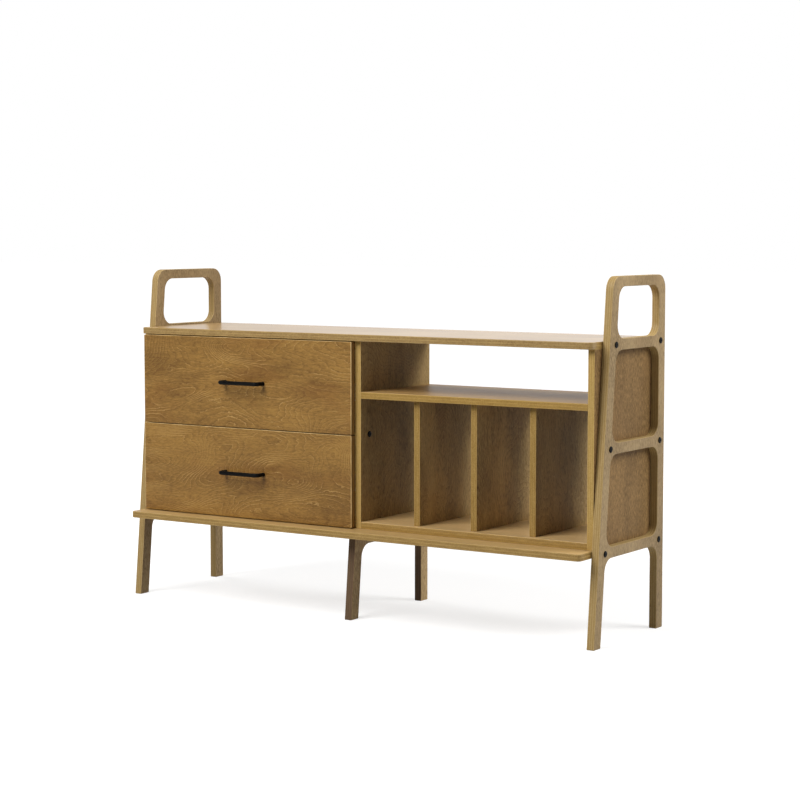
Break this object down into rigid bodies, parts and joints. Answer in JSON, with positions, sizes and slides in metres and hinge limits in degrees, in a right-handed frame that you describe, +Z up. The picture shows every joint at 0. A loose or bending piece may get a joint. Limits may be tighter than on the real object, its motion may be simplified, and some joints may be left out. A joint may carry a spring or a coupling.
{
  "type": "credenza",
  "caption": "Plywood credenza: ladder side frames with carrying loops and raked legs, drawers with bow pulls, an open-backed cubby and upright record bays.",
  "frame": {"origin": "on the floor under the middle of the overall box", "axes": "+Z up, +X along the length to the right seen from the front, -Y out of the front"},
  "size_m": [1.4748, 0.415, 0.917],
  "materials": {
    "frame_plywood": "satin stained birch plywood",
    "board_plywood": "satin stained birch plywood",
    "carcass_plywood": "satin stained birch plywood",
    "drawer_front_plywood": "satin stained birch plywood, strong figure",
    "drawer_box_plywood": "clear birch plywood",
    "black_steel": "satin black",
    "zinc_steel": "zinc plated"
  },
  "bodies": {
    "carcass": {"left_frame": "frame_plywood", "right_frame": "frame_plywood", "center_leg_frame": "frame_plywood", "top_board": "board_plywood", "base_board": "board_plywood", "left_side_panel": "carcass_plywood", "right_side_panel": "carcass_plywood", "center_divider": "carcass_plywood", "drawer_shelf": "carcass_plywood", "left_floor_panel": "carcass_plywood", "drawer_bay_back": "carcass_plywood", "right_floor_panel": "carcass_plywood", "record_shelf": "carcass_plywood", "record_divider_1": "carcass_plywood", "record_divider_2": "carcass_plywood", "record_divider_3": "carcass_plywood", "left_frame_bolt_base_front": "black_steel", "left_frame_bolt_base_rear": "black_steel", "left_frame_bolt_middle_front": "black_steel", "left_frame_bolt_middle_rear": "black_steel", "left_frame_bolt_top_front": "black_steel", "left_frame_bolt_top_rear": "black_steel", "right_frame_bolt_base_front": "black_steel", "right_frame_bolt_base_rear": "black_steel", "right_frame_bolt_middle_front": "black_steel", "right_frame_bolt_middle_rear": "black_steel", "right_frame_bolt_top_front": "black_steel", "right_frame_bolt_top_rear": "black_steel", "divider_bolt_front": "black_steel", "divider_bolt_rear": "black_steel", "upper_drawer_left_slide_cabinet": "zinc_steel", "upper_drawer_right_slide_cabinet": "zinc_steel", "lower_drawer_left_slide_cabinet": "zinc_steel", "lower_drawer_right_slide_cabinet": "zinc_steel"},
    "upper_drawer": {"upper_drawer_front": "drawer_front_plywood", "upper_drawer_inner_front": "drawer_box_plywood", "upper_drawer_left_side": "drawer_box_plywood", "upper_drawer_right_side": "drawer_box_plywood", "upper_drawer_back": "drawer_box_plywood", "upper_drawer_bottom": "drawer_box_plywood", "upper_drawer_pull": "black_steel", "upper_drawer_pull_screw_left": "zinc_steel", "upper_drawer_pull_screw_right": "zinc_steel", "upper_drawer_left_slide_drawer": "zinc_steel", "upper_drawer_right_slide_drawer": "zinc_steel"},
    "upper_drawer_slide_middles": {"upper_drawer_left_slide_middle": "zinc_steel", "upper_drawer_right_slide_middle": "zinc_steel"},
    "lower_drawer": {"lower_drawer_front": "drawer_front_plywood", "lower_drawer_inner_front": "drawer_box_plywood", "lower_drawer_left_side": "drawer_box_plywood", "lower_drawer_right_side": "drawer_box_plywood", "lower_drawer_back": "drawer_box_plywood", "lower_drawer_bottom": "drawer_box_plywood", "lower_drawer_pull": "black_steel", "lower_drawer_pull_screw_left": "zinc_steel", "lower_drawer_pull_screw_right": "zinc_steel", "lower_drawer_left_slide_drawer": "zinc_steel", "lower_drawer_right_slide_drawer": "zinc_steel"},
    "lower_drawer_slide_middles": {"lower_drawer_left_slide_middle": "zinc_steel", "lower_drawer_right_slide_middle": "zinc_steel"}
  },
  "joints": [
    {"name": "upper_drawer_slide", "type": "slide", "parent": "carcass", "child": "upper_drawer", "axis": [0, -1, 0], "range_m": [0, 0.29]},
    {"name": "upper_drawer_middle_slide", "type": "slide", "parent": "carcass", "child": "upper_drawer_slide_middles", "axis": [0, -1, 0], "range_m": [0, 0.145]},
    {"name": "lower_drawer_slide", "type": "slide", "parent": "carcass", "child": "lower_drawer", "axis": [0, -1, 0], "range_m": [0, 0.29]},
    {"name": "lower_drawer_middle_slide", "type": "slide", "parent": "carcass", "child": "lower_drawer_slide_middles", "axis": [0, -1, 0], "range_m": [0, 0.145]}
  ],
  "couplings": [
    {"joint": "upper_drawer_middle_slide", "follows": "upper_drawer_slide", "ratio": 0.5},
    {"joint": "lower_drawer_middle_slide", "follows": "lower_drawer_slide", "ratio": 0.5}
  ]
}
